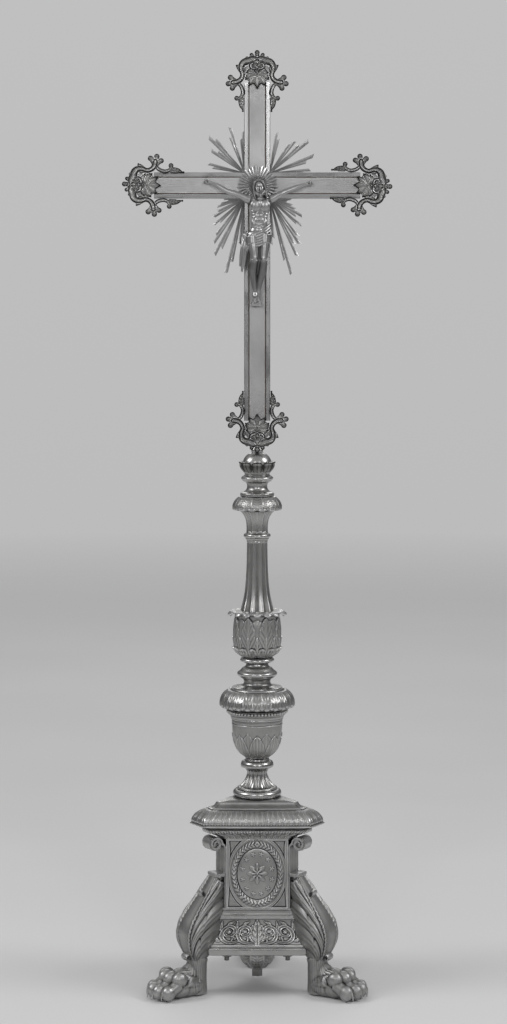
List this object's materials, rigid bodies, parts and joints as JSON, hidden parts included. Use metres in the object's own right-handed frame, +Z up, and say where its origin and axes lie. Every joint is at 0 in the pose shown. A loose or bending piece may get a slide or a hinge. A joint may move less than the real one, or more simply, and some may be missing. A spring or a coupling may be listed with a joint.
{
  "type": "altar cross",
  "caption": "Standing cross with leafy cast finials, rays and a small figure, lifting out of a turned stem on a three-sided base with paw feet.",
  "frame": {"origin": "on the floor directly below the stem's axis", "axes": "+Z up the stem; the front of the cross and one side of the base face -Y; +X to the viewer's right"},
  "size_m": [0.3466, 0.2548, 1.1991],
  "materials": {
    "silver_cast": "cast and chased silvered metal, tarnished in the hollows",
    "silver_sheet": "planished silvered sheet, lightly tarnished",
    "silver_figure": "polished cast silvered metal",
    "iron": "dark forged iron",
    "wood": "plain hardwood core"
  },
  "bodies": {
    "stand": {"tie_rod": "iron", "rod_nut": "iron", "foot_ring": "silver_cast", "flare_foot": "silver_cast", "urn": "silver_cast", "bead_collar": "silver_cast", "knop": "silver_cast", "knop_neck": "silver_cast", "cup_ring": "silver_cast", "leaf_cup": "silver_cast", "fluted_shaft": "silver_cast", "capital_trumpet": "silver_cast", "capital_cap": "silver_cast", "neck_spool": "silver_cast", "calyx": "silver_cast", "ball": "silver_cast", "socket_tube": "silver_cast", "plinth_moulding": "silver_cast", "waist_moulding": "silver_cast", "cornice_moulding": "silver_cast", "base_lid": "silver_cast", "side_panel_front": "silver_sheet", "medallion_front": "silver_cast", "frieze_front": "silver_cast", "side_panel_right": "silver_sheet", "medallion_right": "silver_cast", "frieze_right": "silver_cast", "side_panel_left": "silver_sheet", "medallion_left": "silver_cast", "frieze_left": "silver_cast", "base_plate": "iron", "boss_dome": "silver_cast", "base_bolts": "iron", "leg_front_left": "silver_cast", "paw_front_left": "silver_cast", "leg_front_right": "silver_cast", "paw_front_right": "silver_cast", "leg_rear": "silver_cast", "paw_rear": "silver_cast"},
    "cross": {"tang": "iron", "neck_collar": "silver_cast", "wood_core": "wood", "back_case": "silver_sheet", "front_panel": "silver_sheet", "border_mouldings": "silver_cast", "finial_top": "silver_cast", "finial_right": "silver_cast", "finial_bottom": "silver_cast", "finial_left": "silver_cast", "ray_fan_upper_right": "silver_sheet", "ray_fan_upper_left": "silver_sheet", "ray_fan_lower_right": "silver_sheet", "ray_fan_lower_left": "silver_sheet", "nimbus": "silver_sheet", "cross_screws": "iron", "corpus": "silver_figure", "corpus_arms": "silver_figure", "foot_rest": "silver_cast", "nails": "iron"}
  },
  "joints": [
    {"name": "cross_lift", "type": "slide", "parent": "stand", "child": "cross", "axis": [0, 0, 1], "range_m": [0, 0.06]}
  ]
}
